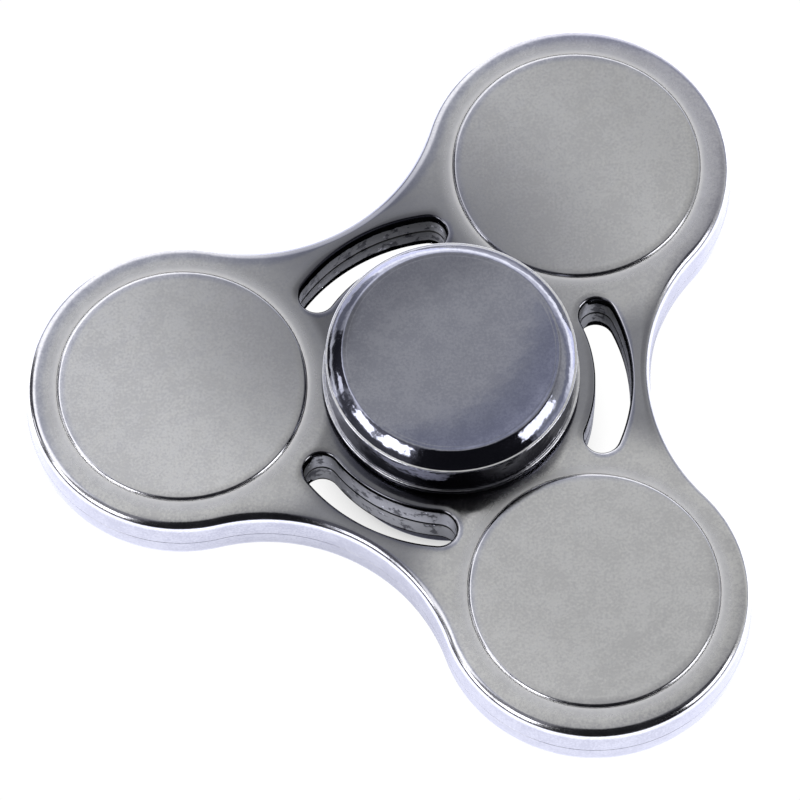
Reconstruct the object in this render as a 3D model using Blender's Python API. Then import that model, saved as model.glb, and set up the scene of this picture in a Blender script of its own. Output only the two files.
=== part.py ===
"""Fidget spinner: a three-lobed metal body that turns on a ball bearing between two finger caps.

Frame: metres, +Z up along the spin axis, origin at the centre of the bearing.
The first lobe points along -X. The spinner stands on the rim of its lower cap.
"""

import math

import bmesh
import bpy
from mathutils import Matrix, Vector

MM = 0.001

# ---- Driving dimensions
ARM = 24.0 * MM  # spin axis to the centre of each lobe
LOBES = 3
FIRST_LOBE = math.pi  # direction of the first lobe, about +Z from +X

BODY_HALF = 3.0 * MM  # half of the body's thickness
LOBE_RADIUS = 14.0 * MM  # outer wall of a lobe, at the parting line
WAIST_EXTRA = 3.9 * MM  # how much further out the waist is than the lobe's radius
WALL_DRAFT = 0.17 * MM  # the wall leans in by this much towards the face
EDGE_ROUND = 0.85 * MM  # radius along the outer edge
SEAM_GAP = 0.1 * MM  # between the two half shells
FIT_GAP = 0.1 * MM  # between pieces that are pressed together

DISC_RADIUS = 11.1 * MM
DISC_LET_IN = 1.3 * MM  # depth of the disc below the body's face
DISC_PROUD = 0.25 * MM  # height of the disc above the body's face
DISC_ROUND = 0.4 * MM  # radius along the disc's outer edge
WEIGHT_RADIUS = 9.9 * MM
WEIGHT_CHAMFER = 0.3 * MM

SLOT_RADIUS = 14.52 * MM  # centre line of each arc slot
SLOT_HALF_WIDTH = 1.62 * MM
SLOT_RIM_FLARE = 0.4 * MM
SLOT_DRAFT = 0.05 * MM  # the slot narrows by this much on each side, down to the parting line
SLOT_HALF_ANGLE = math.radians(23.9)

PEG_RADIUS = 0.8 * MM
PEG_LENGTH = 1.2 * MM
PEG_ARM = ARM + 12.0 * MM  # in the outer wall of each lobe

CUT_PAST = 1.0 * MM  # how far a cutter reaches past the face that it cuts

# ---- Bearing, size 608
BEARING_RADIUS = 11.0 * MM
BORE_RADIUS = 4.0 * MM
BEARING_HALF = 3.5 * MM
PITCH_RADIUS = 7.5 * MM
BALLS = 7
BALL_RADIUS = 1.984 * MM
GROOVE_RADIUS = 2.08 * MM
SHOULDER_OFFSET = 1.45 * MM  # each race's shoulder, from the pitch circle
RACE_CHAMFER = 0.3 * MM
SHIELD_SEAT_RADIUS = 9.6 * MM
SHIELD_SEAT_Z = 2.75 * MM
SHIELD_INNER_RADIUS = 6.35 * MM
SHIELD_Z = 2.85 * MM
SHIELD_SHEET = 0.3 * MM
CAGE_INNER_RADIUS = 6.55 * MM
CAGE_OUTER_RADIUS = 8.45 * MM
CAGE_SHEET = 0.35 * MM
CAGE_POCKET_RADIUS = 2.1 * MM

# ---- Finger caps
CAP_RADIUS = 11.5 * MM  # at the foot of the skirt, which flares out from the ridge
CAP_BASE_Z = 3.7 * MM
CAP_FOOT_ROUND = 0.2 * MM
CAP_RIDGE_RADIUS = 11.2 * MM
CAP_RIDGE_Z = 7.7 * MM
CAP_TOP_Z = 9.0 * MM
SHOULDER_BULGE = 0.1 * MM
RIM_OUTER_RADIUS = 9.7 * MM
RIM_INNER_RADIUS = 9.25 * MM
DISH_RADIUS = 6.0 * MM  # flat middle of the dish
DISH_DEPTH = 0.35 * MM
CAP_HOLLOW_RADIUS = 9.9 * MM
CAP_HOLLOW_Z = 6.4 * MM
CAP_HOLLOW_DRAFT = 0.4 * MM
BOSS_RADIUS = 5.3 * MM
STEM_RADIUS = 3.9 * MM
STEM_END_Z = -3.3 * MM
SOCKET_RADIUS = 2.6 * MM
SOCKET_END_Z = 2.5 * MM
STUD_RADIUS = 2.5 * MM
STUD_LENGTH = 5.6 * MM

# ---- Fineness of the round shapes, in faces per turn
TURNS_BODY = 36
TURNS_BEARING = 32
TURNS_CAP = 40
TURNS_PEG = 8
LOBE_STEPS = 20
WAIST_STEPS = 8
SLOT_SIDE_STEPS = 8
SLOT_END_STEPS = 6
EDGE_STEPS = 2  # across a rounded edge
GROOVE_STEPS = 6
DISH_STEPS = 3
CAGE_STEPS = 10  # from one ball to the next
BALL_SEGMENTS = 12
BALL_RINGS = 8
SHARP_ANGLE = math.radians(32)


def clear_scene():
    for old in list(bpy.data.objects):
        bpy.data.objects.remove(old, do_unlink=True)


def metal(name, colour, roughness, metallic=1.0):
    """A plain Principled material."""
    material = bpy.data.materials.new(name)
    material.use_nodes = True
    shader = material.node_tree.nodes["Principled BSDF"]
    shader.inputs["Base Color"].default_value = (*colour, 1.0)
    shader.inputs["Roughness"].default_value = roughness
    shader.inputs["Metallic"].default_value = metallic
    material.diffuse_color = (*colour, 1.0)
    return material


def add_object(name, bm, material):
    """Turns a closed bmesh into a smooth-shaded object whose faces point out."""
    bmesh.ops.recalc_face_normals(bm, faces=bm.faces)
    if bm.calc_volume(signed=True) < 0.0:
        bmesh.ops.reverse_faces(bm, faces=bm.faces)
    mesh = bpy.data.meshes.new(name)
    bm.to_mesh(mesh)
    bm.free()
    mesh.shade_smooth()
    mesh.set_sharp_from_angle(angle=SHARP_ANGLE)
    mesh.materials.append(material)
    piece = bpy.data.objects.new(name, mesh)
    bpy.context.collection.objects.link(piece)
    return piece


def hide_cutter(cutter):
    cutter.hide_render = True
    cutter.display_type = "WIRE"


def boolean(piece, other, operation):
    modifier = piece.modifiers.new(other.name, "BOOLEAN")
    modifier.operation = operation
    modifier.object = other
    hide_cutter(other)


def polar(radius, angle):
    return Vector((radius * math.cos(angle), radius * math.sin(angle)))


def arc(centre, radius, start, end, steps):
    """Points from start to end on an arc, both ends included."""
    return [centre + polar(radius, start + (end - start) * i / steps) for i in range(steps + 1)]


def turned(profile, faces_per_turn):
    """Spins a closed (radius, z) outline about Z into a bmesh. Radius 0 lies on the axis."""
    bm = bmesh.new()
    ring = [bm.verts.new((radius, 0.0, z)) for radius, z in profile]
    edges = [
        bm.edges.new((a, b))
        for a, b in zip(ring, ring[1:] + ring[:1])
        if a.co.x > 0.0 or b.co.x > 0.0
    ]
    bmesh.ops.spin(
        bm,
        geom=ring + edges,
        cent=(0.0, 0.0, 0.0),
        axis=(0.0, 0.0, 1.0),
        angle=math.tau,
        steps=faces_per_turn,
        use_merge=True,
    )
    bmesh.ops.remove_doubles(bm, verts=bm.verts, dist=1e-6)
    return bm


def stacked(levels):
    """Joins outlines at rising heights into a closed solid. Each level is (z, points)."""
    bm = bmesh.new()
    rings = [[bm.verts.new((*point, z)) for point in points] for z, points in levels]
    for low, high in zip(rings, rings[1:]):
        for i in range(len(low)):
            j = (i + 1) % len(low)
            bm.faces.new((low[i], low[j], high[j], high[i]))
    bm.faces.new(rings[0][::-1])
    bm.faces.new(rings[-1])
    return bm


def flip_over(bm):
    """Turns a shape upside down, about the X axis, into its counterpart below the mid plane."""
    bm.transform(Matrix.Rotation(math.pi, 4, "X"))
    return bm


def lobe_direction(index):
    return FIRST_LOBE + index * math.tau / LOBES


def waist_direction(index):
    return lobe_direction(index) + math.pi / LOBES


def body_outline(inset):
    """The outline inset from the parting line: a convex arc round each lobe, a hollow one between.

    The hollow arc's centre lies on the waist's direction, and it touches both lobes' arcs.
    """
    lobe_radius = LOBE_RADIUS - inset
    centre_distance = (ARM**2 - WAIST_EXTRA**2) / (ARM - 2 * WAIST_EXTRA)
    hollow_radius = centre_distance - WAIST_EXTRA - lobe_radius
    points = []
    for index in range(LOBES):
        lobe_angle = lobe_direction(index)
        waist_angle = waist_direction(index)
        lobe = polar(ARM, lobe_angle)
        hollow = polar(centre_distance, waist_angle)
        line = hollow - lobe
        touch_angle = math.atan2(line.y, line.x)
        lobe_half = (touch_angle - lobe_angle) % math.tau
        hollow_half = (touch_angle - waist_angle) % math.tau
        convex = arc(lobe, lobe_radius, lobe_angle - lobe_half, lobe_angle + lobe_half, LOBE_STEPS)
        inward = waist_angle + math.pi
        concave = arc(hollow, hollow_radius, inward + hollow_half, inward - hollow_half, WAIST_STEPS)
        points += convex + concave[1:-1]
    return points


def slot_outline(index, widen):
    """An arc slot about the spin axis, with round ends."""
    half_width = SLOT_HALF_WIDTH + widen
    middle = waist_direction(index)
    start = middle - SLOT_HALF_ANGLE
    end = middle + SLOT_HALF_ANGLE
    centre = Vector((0.0, 0.0))
    far = polar(SLOT_RADIUS, end)
    near = polar(SLOT_RADIUS, start)
    outer = arc(centre, SLOT_RADIUS + half_width, start, end, SLOT_SIDE_STEPS)
    far_end = arc(far, half_width, end, end + math.pi, SLOT_END_STEPS)
    inner = arc(centre, SLOT_RADIUS - half_width, end, start, SLOT_SIDE_STEPS)
    near_end = arc(near, half_width, start - math.pi, start, SLOT_END_STEPS)
    return outer + far_end[1:-1] + inner + near_end[1:-1]


def shell_blank():
    """The upper half of the body with its draft and rounded outer edge, before anything is cut."""
    round_base = BODY_HALF - EDGE_ROUND
    levels = [(SEAM_GAP / 2, body_outline(0.0))]
    for step in range(EDGE_STEPS + 1):
        angle = math.pi / 2 * step / EDGE_STEPS
        inset = WALL_DRAFT + EDGE_ROUND * (1 - math.cos(angle))
        levels.append((round_base + EDGE_ROUND * math.sin(angle), body_outline(inset)))
    return stacked(levels)


def slot_cutter(index):
    """The slot's space: drafted walls that flare at the face."""
    levels = [
        (-CUT_PAST, slot_outline(index, -SLOT_DRAFT)),
        (0.0, slot_outline(index, -SLOT_DRAFT)),
        (BODY_HALF - SLOT_RIM_FLARE, slot_outline(index, 0.0)),
        (BODY_HALF, slot_outline(index, SLOT_RIM_FLARE)),
        (BODY_HALF + CUT_PAST, slot_outline(index, SLOT_RIM_FLARE)),
    ]
    return stacked(levels)


def bearing_seat_cutter():
    radius = BEARING_RADIUS + FIT_GAP
    top = BODY_HALF + CUT_PAST
    profile = [(0.0, -CUT_PAST), (radius, -CUT_PAST), (radius, top), (0.0, top)]
    return turned(profile, TURNS_BODY)


def disc_floor_z():
    """Height of the ledge that a cover disc rests on."""
    return BODY_HALF - DISC_LET_IN - FIT_GAP


def pocket_cutter(index):
    """A lobe's pocket: the disc's recess above the narrower hole for the weight."""
    weight_hole = WEIGHT_RADIUS + FIT_GAP
    disc_recess = DISC_RADIUS + FIT_GAP
    ledge = disc_floor_z()
    profile = [
        (0.0, -CUT_PAST),
        (weight_hole, -CUT_PAST),
        (weight_hole, ledge),
        (disc_recess, ledge),
        (disc_recess, BODY_HALF + CUT_PAST),
        (0.0, BODY_HALF + CUT_PAST),
    ]
    bm = turned(profile, TURNS_BODY)
    move_to_lobe(bm, index)
    return bm


def move_to_lobe(bm, index):
    bmesh.ops.translate(bm, verts=bm.verts, vec=(*polar(ARM, lobe_direction(index)), 0.0))


def peg(index, radius, low, high):
    """A locating peg, or the space of its socket, in the wall at a lobe's tip."""
    bm = turned([(0.0, low), (radius, low), (radius, high), (0.0, high)], TURNS_PEG)
    place = polar(PEG_ARM, lobe_direction(index))
    bmesh.ops.translate(bm, verts=bm.verts, vec=(*place, 0.0))
    return bm


def make_shell(side, material):
    """One half of the body. side is "upper" or "lower"; the lower one is the upper one turned over."""
    upper = side == "upper"
    settle = (lambda bm: bm) if upper else flip_over
    shell = add_object(f"body_{side}_shell", settle(shell_blank()), material)
    cutters = {"bearing_seat": bearing_seat_cutter()}
    for index in range(LOBES):
        cutters[f"slot_{index + 1}"] = slot_cutter(index)
        cutters[f"pocket_{index + 1}"] = pocket_cutter(index)
    for name, bm in cutters.items():
        boolean(shell, add_object(f"cut_{side}_{name}", settle(bm), material), "DIFFERENCE")
    for index in range(LOBES):
        if upper:
            bm = peg(index, PEG_RADIUS, -PEG_LENGTH, CUT_PAST)
            boolean(shell, add_object(f"peg_{index + 1}", bm, material), "UNION")
        else:
            bm = peg(index, PEG_RADIUS + FIT_GAP, -PEG_LENGTH - 2 * FIT_GAP, CUT_PAST)
            boolean(shell, add_object(f"cut_socket_{index + 1}", bm, material), "DIFFERENCE")


def make_cover_disc(name, index, upper, material):
    """A flat round cover with a rounded edge, let into the body and a little proud of its face."""
    low = BODY_HALF - DISC_LET_IN
    top = BODY_HALF + DISC_PROUD
    round_centre = Vector((DISC_RADIUS - DISC_ROUND, top - DISC_ROUND))
    edge = arc(round_centre, DISC_ROUND, 0.0, math.pi / 2, EDGE_STEPS)
    profile = [(0.0, low), (DISC_RADIUS, low), *map(tuple, edge), (0.0, top)]
    bm = turned(profile, TURNS_BODY)
    if not upper:
        flip_over(bm)
    move_to_lobe(bm, index)
    add_object(name, bm, material)


def make_weight(name, index, material):
    """A steel slug held between the two cover discs of a lobe."""
    half = disc_floor_z()
    edge = WEIGHT_RADIUS - WEIGHT_CHAMFER
    profile = [
        (0.0, -half),
        (edge, -half),
        (WEIGHT_RADIUS, -half + WEIGHT_CHAMFER),
        (WEIGHT_RADIUS, half - WEIGHT_CHAMFER),
        (edge, half),
        (0.0, half),
    ]
    bm = turned(profile, TURNS_BODY)
    move_to_lobe(bm, index)
    add_object(name, bm, material)


def groove_profile(side):
    """The ball groove's arc on a race, from below to above. side is +1 for the outer race."""
    reach = math.acos(SHOULDER_OFFSET / GROOVE_RADIUS)
    centre = Vector((PITCH_RADIUS, 0.0))
    points = arc(centre, GROOVE_RADIUS, -reach, reach, GROOVE_STEPS)
    return [(PITCH_RADIUS + side * (r - PITCH_RADIUS), z) for r, z in points]


def make_outer_race(material):
    shoulder = PITCH_RADIUS + SHOULDER_OFFSET
    edge = BEARING_RADIUS - RACE_CHAMFER
    profile = [
        (edge, BEARING_HALF),
        (BEARING_RADIUS, BEARING_HALF - RACE_CHAMFER),
        (BEARING_RADIUS, RACE_CHAMFER - BEARING_HALF),
        (edge, -BEARING_HALF),
        (SHIELD_SEAT_RADIUS, -BEARING_HALF),
        (SHIELD_SEAT_RADIUS, -SHIELD_SEAT_Z),
        (shoulder, -SHIELD_SEAT_Z),
        *groove_profile(+1),
        (shoulder, SHIELD_SEAT_Z),
        (SHIELD_SEAT_RADIUS, SHIELD_SEAT_Z),
        (SHIELD_SEAT_RADIUS, BEARING_HALF),
    ]
    add_object("bearing_outer_race", turned(profile, TURNS_BEARING), material)


def make_inner_race(material):
    shoulder = PITCH_RADIUS - SHOULDER_OFFSET
    bore_edge = BORE_RADIUS + RACE_CHAMFER
    profile = [
        (bore_edge, -BEARING_HALF),
        (shoulder, -BEARING_HALF),
        *groove_profile(-1),
        (shoulder, BEARING_HALF),
        (bore_edge, BEARING_HALF),
        (BORE_RADIUS, BEARING_HALF - RACE_CHAMFER),
        (BORE_RADIUS, RACE_CHAMFER - BEARING_HALF),
    ]
    add_object("bearing_inner_race", turned(profile, TURNS_BEARING), material)


def make_shield(name, upper, material):
    """A thin ring pressed into the outer race, with its inner edge turned down."""
    outer = SHIELD_SEAT_RADIUS - FIT_GAP
    top = SHIELD_Z + SHIELD_SHEET
    profile = [
        (SHIELD_INNER_RADIUS, SHIELD_Z),
        (outer, SHIELD_Z),
        (outer, top + SHIELD_SHEET),
        (outer - SHIELD_SHEET, top + SHIELD_SHEET),
        (outer - 2 * SHIELD_SHEET, top),
        (SHIELD_INNER_RADIUS, top),
    ]
    bm = turned(profile, TURNS_BEARING)
    if not upper:
        flip_over(bm)
    add_object(name, bm, material)


def cage_height(turn):
    """Lower and upper height of the upper cage half, turn radians from the nearest ball's centre."""
    along = PITCH_RADIUS * abs(turn)
    land = FIT_GAP / 2
    inner = math.sqrt(max(CAGE_POCKET_RADIUS**2 - along**2, 0.0))
    outer_radius = CAGE_POCKET_RADIUS + CAGE_SHEET
    outer = math.sqrt(max(outer_radius**2 - along**2, 0.0))
    return max(inner, land), max(outer, land + CAGE_SHEET)


def make_cage(name, upper, material):
    """A crimped ribbon: half pockets over the balls, flat lands between them."""
    pitch = math.tau / BALLS
    bm = bmesh.new()
    rings = []
    for step in range(BALLS * CAGE_STEPS):
        along = pitch * step / CAGE_STEPS
        angle = FIRST_LOBE + along
        turn = (along + pitch / 2) % pitch - pitch / 2
        low, high = cage_height(turn)
        inner = polar(CAGE_INNER_RADIUS, angle)
        outer = polar(CAGE_OUTER_RADIUS, angle)
        corners = ((*inner, low), (*outer, low), (*outer, high), (*inner, high))
        rings.append([bm.verts.new(corner) for corner in corners])
    for ring, following in zip(rings, rings[1:] + rings[:1]):
        for i in range(4):
            j = (i + 1) % 4
            bm.faces.new((ring[i], ring[j], following[j], following[i]))
    if not upper:
        flip_over(bm)
    add_object(name, bm, material)


def make_balls(material):
    """The balls share one mesh. Each object's origin is on the axis that its ball turns about."""
    bm = bmesh.new()
    bmesh.ops.create_uvsphere(
        bm, u_segments=BALL_SEGMENTS, v_segments=BALL_RINGS, radius=BALL_RADIUS
    )
    first = add_object("bearing_ball_1", bm, material)
    for index in range(BALLS):
        ball = first
        if index:
            ball = bpy.data.objects.new(f"bearing_ball_{index + 1}", first.data)
            bpy.context.collection.objects.link(ball)
        angle = FIRST_LOBE + index * math.tau / BALLS
        ball.location = (*polar(PITCH_RADIUS, angle), 0.0)


def dish_profile():
    """From the flat middle of the dish out to the rim's inner edge, rising ever more steeply."""
    floor_z = CAP_TOP_Z - DISH_DEPTH
    points = [(0.0, floor_z)]
    for step in range(DISH_STEPS + 1):
        share = step / DISH_STEPS
        radius = DISH_RADIUS + share * (RIM_INNER_RADIUS - DISH_RADIUS)
        points.append((radius, floor_z + DISH_DEPTH * share**2))
    return points


def cap_outside():
    """The cap's outline from the middle of its dish to the foot of its skirt."""
    crest = Vector((RIM_OUTER_RADIUS, CAP_TOP_Z))
    ridge = Vector((CAP_RIDGE_RADIUS, CAP_RIDGE_Z))
    slope = ridge - crest
    bulge = Vector((-slope.y, slope.x)).normalized() * SHOULDER_BULGE
    return [
        *dish_profile(),
        tuple(crest),
        tuple((crest + ridge) / 2 + bulge),
        tuple(ridge),
        (CAP_RADIUS, CAP_BASE_Z + CAP_FOOT_ROUND),
        (CAP_RADIUS - CAP_FOOT_ROUND, CAP_BASE_Z),
    ]


def cap_hollow():
    """The underside: a ring-shaped hollow round the boss that clamps the inner race."""
    return [
        (CAP_HOLLOW_RADIUS, CAP_BASE_Z),
        (CAP_HOLLOW_RADIUS - CAP_HOLLOW_DRAFT, CAP_HOLLOW_Z),
        (BOSS_RADIUS, CAP_HOLLOW_Z),
        (BOSS_RADIUS, BEARING_HALF + FIT_GAP),
    ]


def make_upper_cap(material):
    """The cap with the hollow stem that fills the bearing's bore."""
    stem = [
        (STEM_RADIUS, BEARING_HALF + FIT_GAP),
        (STEM_RADIUS, STEM_END_Z + RACE_CHAMFER),
        (STEM_RADIUS - RACE_CHAMFER, STEM_END_Z),
        (SOCKET_RADIUS, STEM_END_Z),
        (SOCKET_RADIUS, SOCKET_END_Z),
        (0.0, SOCKET_END_Z),
    ]
    bm = turned(cap_outside() + cap_hollow() + stem, TURNS_CAP)
    add_object("finger_cap_upper", bm, material)


def make_lower_cap(material):
    """The cap with the stud that fits in the upper cap's stem."""
    stud_end = BEARING_HALF + FIT_GAP - STUD_LENGTH
    stud = [
        (STUD_RADIUS, BEARING_HALF + FIT_GAP),
        (STUD_RADIUS, stud_end + RACE_CHAMFER),
        (STUD_RADIUS - RACE_CHAMFER, stud_end),
        (0.0, stud_end),
    ]
    bm = turned(cap_outside() + cap_hollow() + stud, TURNS_CAP)
    add_object("finger_cap_lower", flip_over(bm), material)


def build():
    clear_scene()
    dark_chrome = metal("dark_chrome", (0.56, 0.565, 0.575), 0.08)
    cover_chrome = metal("cover_chrome", (0.60, 0.61, 0.61), 0.12)
    cap_chrome = metal("cap_chrome", (0.52, 0.53, 0.56), 0.06)
    weight_steel = metal("weight_steel", (0.45, 0.45, 0.46), 0.4)
    race_steel = metal("race_steel", (0.62, 0.63, 0.65), 0.25)
    ball_steel = metal("ball_steel", (0.72, 0.73, 0.75), 0.05)
    sheet_steel = metal("sheet_steel", (0.55, 0.55, 0.56), 0.35)

    make_shell("upper", dark_chrome)
    make_shell("lower", dark_chrome)
    for index in range(LOBES):
        number = index + 1
        make_cover_disc(f"cover_disc_upper_{number}", index, True, cover_chrome)
        make_cover_disc(f"cover_disc_lower_{number}", index, False, cover_chrome)
        make_weight(f"lobe_weight_{number}", index, weight_steel)
    make_outer_race(race_steel)
    make_inner_race(race_steel)
    make_balls(ball_steel)
    make_cage("bearing_cage_upper", True, sheet_steel)
    make_cage("bearing_cage_lower", False, sheet_steel)
    make_shield("bearing_shield_upper", True, sheet_steel)
    make_shield("bearing_shield_lower", False, sheet_steel)
    make_upper_cap(cap_chrome)
    make_lower_cap(cap_chrome)


build()
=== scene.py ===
"""The looks of the fidget spinner: fine meshes and plated-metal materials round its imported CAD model.

Frame: metres, +Z up along the spin axis, origin at the bearing's centre, the first lobe along -X.
The main sizes are read from the CAD nodes' boxes. The constants are the rest.
"""

import math

import bmesh
import bpy
from mathutils import Matrix, Vector


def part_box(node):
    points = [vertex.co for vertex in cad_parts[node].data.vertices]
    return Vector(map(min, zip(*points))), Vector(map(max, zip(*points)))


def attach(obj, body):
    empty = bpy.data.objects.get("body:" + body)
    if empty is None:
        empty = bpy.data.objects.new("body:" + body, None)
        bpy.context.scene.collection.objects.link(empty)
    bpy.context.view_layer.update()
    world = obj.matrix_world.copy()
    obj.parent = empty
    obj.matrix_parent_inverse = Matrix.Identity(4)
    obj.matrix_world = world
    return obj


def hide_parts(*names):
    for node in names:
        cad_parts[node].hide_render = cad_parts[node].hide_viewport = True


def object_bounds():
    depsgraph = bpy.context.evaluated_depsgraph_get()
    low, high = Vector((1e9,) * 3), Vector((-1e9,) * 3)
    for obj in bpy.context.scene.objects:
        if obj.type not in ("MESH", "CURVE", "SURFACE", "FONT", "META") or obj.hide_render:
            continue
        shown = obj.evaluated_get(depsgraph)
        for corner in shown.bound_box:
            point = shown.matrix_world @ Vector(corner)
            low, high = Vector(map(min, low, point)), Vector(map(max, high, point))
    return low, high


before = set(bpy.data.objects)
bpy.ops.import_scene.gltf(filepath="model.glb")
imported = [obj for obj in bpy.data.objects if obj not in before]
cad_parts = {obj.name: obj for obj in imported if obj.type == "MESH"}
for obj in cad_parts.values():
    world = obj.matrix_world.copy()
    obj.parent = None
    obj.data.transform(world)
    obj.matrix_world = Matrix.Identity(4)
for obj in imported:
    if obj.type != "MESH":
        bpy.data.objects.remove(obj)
cad_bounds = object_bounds()

MM = 0.001
LOBES = 3
BALLS = 7

# ---- Body
WAIST_EXTRA = 3.9 * MM
WALL_DRAFT = 0.17 * MM
SEAM_HALF = 0.01 * MM  # half of the hairline between the shells
SEAM_ROUND = 0.05 * MM
SLOT_SEAM_ROUND = 0.22 * MM
FLAT_MARGIN = 0.06 * MM  # narrow flat strip next to each rounded edge, so that the face shades flat
PRESS_GAP = 0.1 * MM
DISC_SPREAD = 0.09 * MM  # a cover disc all but fills its recess

# ---- Edges: the radius of the round, then the width and drop of the soft crown beside it
OUTER_EDGE = (0.85 * MM, 1.0 * MM, 0.045 * MM)
SLOT_EDGE = (0.3 * MM, 0.5 * MM, 0.04 * MM)
DISC_EDGE = (0.35 * MM, 0.6 * MM, 0.03 * MM)
RECESS_EDGE = (0.03 * MM, 0.25 * MM, 0.008 * MM)
SEAT_EDGE = (0.15 * MM, 0.2 * MM, 0.005 * MM)
OUTER_CROWN_LEFT = 0.06  # share of the outer crown's width that is left in the middle of a waist
SLOT_CROWN_LEFT = 0.15  # the same for a slot's outer side

# ---- Slots, and the pegs that locate the shells
SLOT_RADIUS = 14.52 * MM
SLOT_HALF_WIDTH = 1.62 * MM
SLOT_HALF_ANGLE = math.radians(23.9)
SLOT_DRAFT = 0.05 * MM
PEG_ARM_EXTRA = 12.0 * MM
PEG_RADIUS = 0.8 * MM
PEG_LENGTH = 1.2 * MM

# ---- Bearing, size 608
PITCH_RADIUS = 7.5 * MM
BORE_RADIUS = 4.0 * MM
GROOVE_RADIUS = 2.08 * MM
SHOULDER_OFFSET = 1.45 * MM
SHIELD_SEAT_RADIUS = 9.6 * MM
SHIELD_SEAT_Z = 2.75 * MM
SHIELD_INNER = 6.35 * MM
SHIELD_Z = 2.85 * MM
SHIELD_SHEET = 0.3 * MM
CAGE_INNER = 6.55 * MM
CAGE_OUTER = 8.45 * MM
CAGE_SHEET = 0.35 * MM
CAGE_POCKET = 2.1 * MM
CAGE_LAND = 0.05 * MM

# ---- Finger caps
SKIRT_FLARE = 0.3 * MM  # from the ridge out to the foot
SKIRT_POWER = 2.0
CAP_RIDGE_Z = 7.7 * MM
LEDGE_WIDTH = 0.2 * MM  # a narrow step at the ridge, and another near the foot
FOOT_LEDGE_Z = 4.15 * MM
FOOT_ROUND = 0.2 * MM
RIM_OUTER = 9.7 * MM
RIM_INNER = 9.25 * MM
RIM_ROUND = 0.5 * MM
SHOULDER_BULGE = 0.1 * MM
DISH_DEPTH = 0.35 * MM
DISH_POWER = 3.0
DISH_END = 0.96  # share of the rim's inner radius where the dish meets the rim's round
LEDGE_RADII = [0, 0.03 * MM, 0.08 * MM, 0]
CAP_HEIGHT = 5.3 * MM
HOLLOW_RADIUS = 9.9 * MM
HOLLOW_TOP = 6.4 * MM
HOLLOW_DRAFT = 0.4 * MM
BOSS_RADIUS = 5.3 * MM
STEM_RADIUS = 3.9 * MM
STEM_END = -3.3 * MM
SOCKET_RADIUS = 2.6 * MM
SOCKET_END = 2.5 * MM
STUD_RADIUS = 2.5 * MM
STUD_LENGTH = 5.6 * MM

# ---- Tones
WHITE = (1.0, 1.0, 1.0, 1.0)
# the darker, bluer tone of the painted shade on the body and the cover discs
PAINTED_SHADE_TONE = (0.29, 0.295, 0.33)
DARKEST_PLACE = (-4 * MM, 9 * MM)  # the painted shade deepens to its dark tone towards here
# colour of the painted highlight ring round each disc
PAINTED_HALO = (0.99, 0.985, 0.95)
SHADOWED = (0.06, 0.06, 0.07)
# slot walls: duller plating darkened as painted shade, a painted lighter part, and painted black shade
SLOT_DULL_SHADED = (0.33, 0.33, 0.30)
SLOT_PAINTED_LIGHT = (0.50, 0.50, 0.47)
SLOT_PAINTED_BLACK = (0.01, 0.01, 0.012)
# colour of the painted shade on the caps' skirts
CAP_SKIRT_SHADE = (0.06, 0.06, 0.075)

# ---- Where painted light and shade lie, and the slots' duller plating
HALO_WIDE, HALO_NARROW = 1.6 * MM, 0.5 * MM  # two painted highlight rings round a disc, one in the other
SLOT_ZONE = (12.4 * MM, 16.6 * MM)  # distances from the hub that hold the slots' walls
LIP_DEPTHS = (0.25 * MM, 0.85 * MM)  # of the painted black shade at a slot's lip, on the hub's side and on the far side
LIP_RAGGED = 0.5 * MM
SEAM_SHADE = (0.1 * MM, 0.22 * MM)  # heights over the parting line where its painted dark shade fades out

# ---- Stage
TENT_STRENGTH = 1.3
CARD_RADIUS = 75 * MM
CAMERA_LENS = 358.8
CAMERA_AZIMUTH = math.radians(-1.65)
CAMERA_ELEVATION = math.radians(66.01)
CAMERA_DISTANCE = 710.29 * MM
CAMERA_AIM = (-4.594 * MM, -1.958 * MM)  # on the level of the body's top

# ---- Fineness of the meshes
LOBE_STEPS = 112
WAIST_STEPS = 44
CIRCLE_STEPS = 180
SLOT_SIDE_STEPS = 36
SLOT_END_STEPS = 18
ROUND_STEPS = 8
TURN_STEPS = 180
DISC_ROUND_STEPS = 12
GROOVE_STEPS = 16
CAGE_STEPS = 48  # from one pocket to the next
BALL_SUBDIVISIONS = 4
DISH_STEPS = 36
SHOULDER_STEPS = 14
SKIRT_STEPS = 16
SHARP_ANGLE = math.radians(40)


# ------------------------------------------------------------------ places from the frame


def middle(node):
    """Centre and half sizes of a CAD node's box."""
    low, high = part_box(node)
    return (low + high) / 2, (high - low) / 2


def lobe_angle(index):
    return math.pi + index * math.tau / LOBES


def waist_angle(index):
    return lobe_angle(index) + math.pi / LOBES


disc_centre, disc_half = middle("cover_disc_upper_1")
ARM = math.hypot(disc_centre.x, disc_centre.y)
DISC_RADIUS = disc_half.x
DISC_TOP = disc_centre.z + disc_half.z
DISC_LOW = disc_centre.z - disc_half.z
BODY_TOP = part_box("body_upper_shell")[1].z
LOBE_RADIUS = -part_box("body_upper_shell")[0].x - ARM
WEIGHT_RADIUS = middle("lobe_weight_1")[1].x
BEARING_RADIUS = middle("bearing_outer_race")[1].x
BEARING_HALF = middle("bearing_outer_race")[1].z
CAP_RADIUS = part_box("finger_cap_upper")[1].x
CAP_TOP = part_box("finger_cap_upper")[1].z
CAP_BASE = CAP_TOP - CAP_HEIGHT


# ------------------------------------------------------------------ mesh helpers


def polar(radius, angle):
    return Vector((radius * math.cos(angle), radius * math.sin(angle)))


def arc(centre, radius, start, end, steps):
    """Points on an arc from start to end, both ends included."""
    return [centre + polar(radius, start + (end - start) * i / steps) for i in range(steps + 1)]


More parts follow.
